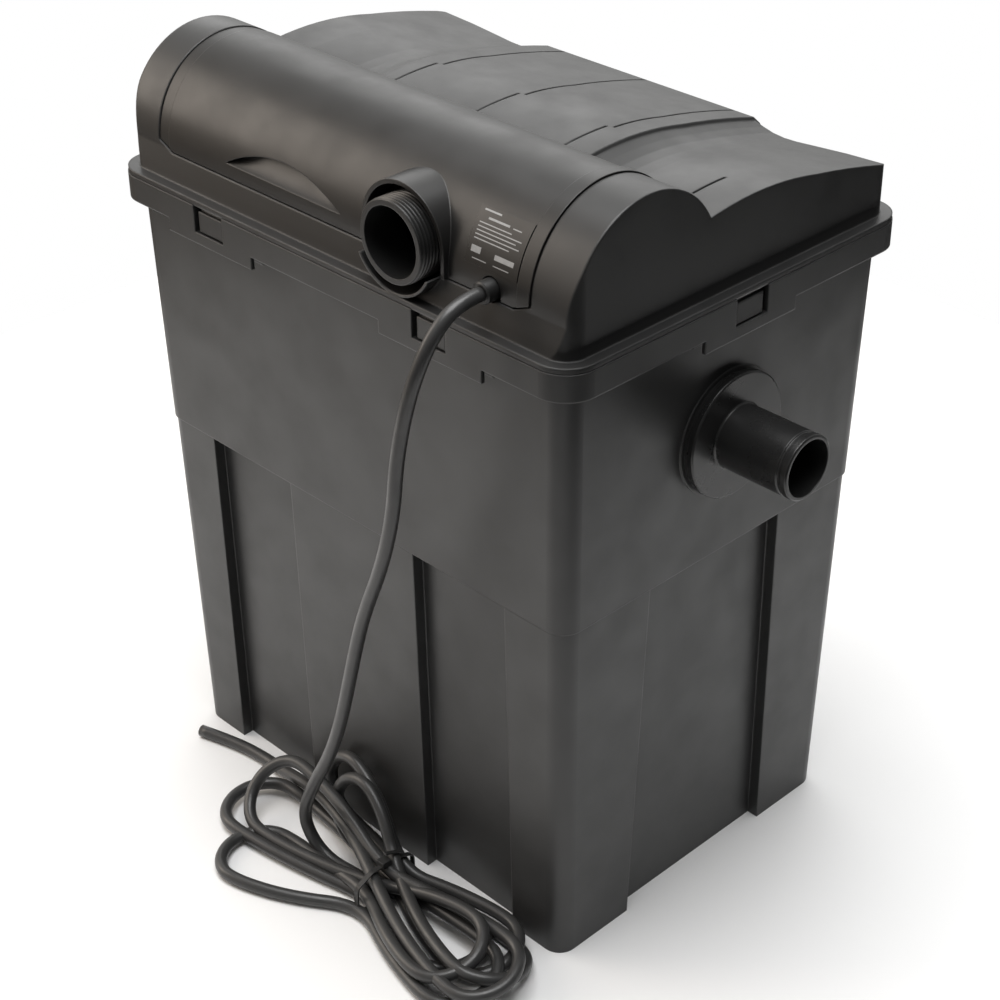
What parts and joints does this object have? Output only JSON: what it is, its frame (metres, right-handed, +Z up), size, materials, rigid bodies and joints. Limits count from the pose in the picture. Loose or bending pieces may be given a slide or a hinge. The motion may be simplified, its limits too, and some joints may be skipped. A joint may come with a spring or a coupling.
{
  "type": "box pond filter with ultraviolet clarifier",
  "caption": "Flow-through box filter for a garden pond: tapered black tub with filter media, lift-off lid, and an ultraviolet clarifier under its own hood.",
  "frame": {"origin": "centre of the tub's underside, at floor level", "axes": "+X along the long side towards the outlet, +Z up, and the clarifier, threaded inlet and cable on the -Y side"},
  "size_m": [0.421, 0.3556, 0.4841],
  "materials": {
    "tub_plastic": "satin black moulded plastic with a light sheen",
    "lid_plastic": "satin black moulded plastic with a light sheen",
    "hood_plastic": "satin black moulded plastic with a light sheen",
    "pipe_plastic": "smooth black pipe plastic",
    "inner_plastic": "matt black moulded plastic",
    "chamber_plastic": "smooth black plastic",
    "seal_rubber": "dull black rubber",
    "foam_black": "open-cell foam, black, fine pores",
    "foam_blue": "open-cell foam, blue, medium pores",
    "foam_green": "open-cell foam, green, coarse pores",
    "ball_plastic": "black injection-moulded plastic",
    "cable_sheath": "black rubber cable sheath with a soft shine",
    "tie_nylon": "black nylon",
    "quartz": "clear quartz",
    "lamp_glass": "clear lamp glass",
    "lamp_ceramic": "white ceramic",
    "screw_steel": "stainless steel",
    "box_plastic": "matt black plastic",
    "board": "green circuit board",
    "gland_rubber": "black rubber",
    "plate_face": "blank dark plate with pale bars"
  },
  "bodies": {
    "root": {"tub": "tub_plastic", "outlet_spigot": "pipe_plastic", "outlet_seal": "seal_rubber", "outlet_nut": "pipe_plastic", "divider_panel": "inner_plastic", "media_grid": "inner_plastic", "foam_fine": "foam_black", "foam_medium": "foam_blue", "foam_coarse": "foam_green", "spray_plate": "inner_plastic", "media_basket": "inner_plastic", "bio_balls": "ball_plastic", "cable_hank": "cable_sheath", "cable_tail": "cable_sheath", "cable_tie": "tie_nylon"},
    "lid": {"lid": "lid_plastic", "uv_chamber": "chamber_plastic", "chamber_cap": "chamber_plastic", "chamber_gasket": "seal_rubber", "sleeve_seal": "seal_rubber", "quartz_sleeve": "quartz", "uv_lamp": "lamp_glass", "lamp_base": "lamp_ceramic", "chamber_straps": "inner_plastic", "strap_screws": "screw_steel", "ballast_box": "box_plastic", "ballast_cover": "box_plastic", "cover_screws": "screw_steel", "ballast_board": "board", "cable_gland": "gland_rubber", "cable_drop": "cable_sheath"},
    "hood": {"uv_cover": "hood_plastic", "rating_plate": "plate_face"}
  },
  "joints": [
    {"name": "lid_lift", "type": "slide", "parent": "root", "child": "lid", "axis": [0, 0, 1], "range_m": [0, 0.06]},
    {"name": "hood_lift", "type": "slide", "parent": "lid", "child": "hood", "axis": [0, 0, 1], "range_m": [0, 0.06]}
  ]
}
